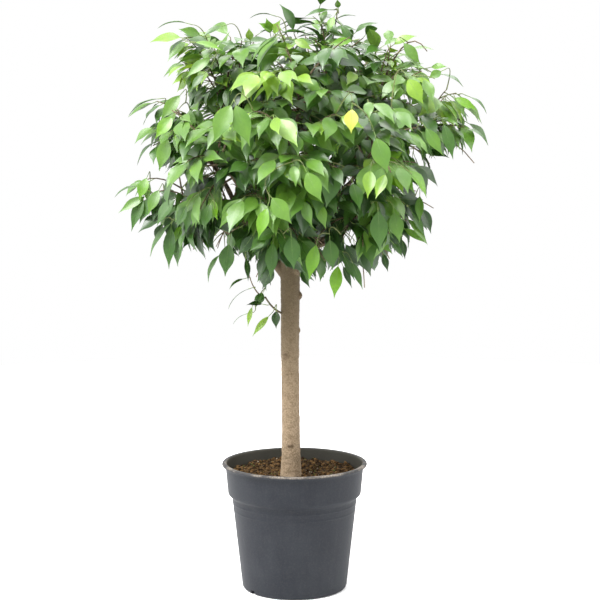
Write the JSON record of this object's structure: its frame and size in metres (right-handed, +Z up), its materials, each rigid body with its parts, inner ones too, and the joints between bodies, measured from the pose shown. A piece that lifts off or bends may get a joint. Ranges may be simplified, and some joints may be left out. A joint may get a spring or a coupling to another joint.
{
  "type": "weeping fig standard tree in a nursery pot",
  "caption": "Standard weeping fig: a round open crown of drooping glossy leaves on one straight clear stem, rooted in a round tapered plastic pot of soil.",
  "frame": {"origin": "centre of the pot's flat underside", "axes": "+Z up, -Y towards the tree's front, +X to the right as seen from the front"},
  "size_m": [0.6939, 0.6535, 1.1128],
  "materials": {
    "pot_plastic": "dark grey moulded plastic, matt with a faint sheen",
    "potting_soil": "loose dark brown bark and peat, matt",
    "bark": "pale grey-brown bark, finely speckled, matt",
    "foliage": "mid green glossy leaves, young ones lighter"
  },
  "bodies": {
    "root": {"bough_back_left": "bark", "bough_back_right": "bark", "bough_front_left": "bark", "bough_front_right": "bark", "bough_left": "bark", "bough_right": "bark", "branch_front": "bark", "branch_low_back": "bark", "branch_low_front": "bark", "branch_low_left": "bark", "branch_low_left_back": "bark", "branch_low_right_back": "bark", "branch_low_right_front": "bark", "branch_upper_back_left": "bark", "branch_upper_back_right": "bark", "branch_upper_front": "bark", "branch_upper_left": "bark", "branch_upper_right": "bark", "foliage_hanging_shoot": "foliage", "foliage_low_back": "foliage", "foliage_low_front": "foliage", "foliage_low_left": "foliage", "foliage_low_left_back": "foliage", "foliage_low_right_back": "foliage", "foliage_low_right_front": "foliage", "foliage_middle_back_left": "foliage", "foliage_middle_back_right": "foliage", "foliage_middle_front": "foliage", "foliage_middle_front_left": "foliage", "foliage_middle_front_right": "foliage", "foliage_middle_left": "foliage", "foliage_middle_right": "foliage", "foliage_top": "foliage", "foliage_upper_back_left": "foliage", "foliage_upper_back_right": "foliage", "foliage_upper_front": "foliage", "foliage_upper_left": "foliage", "foliage_upper_right": "foliage", "hanging_shoot": "bark", "leader": "bark", "pot": "pot_plastic", "soil": "potting_soil", "trunk": "bark"}
  },
  "joints": []
}
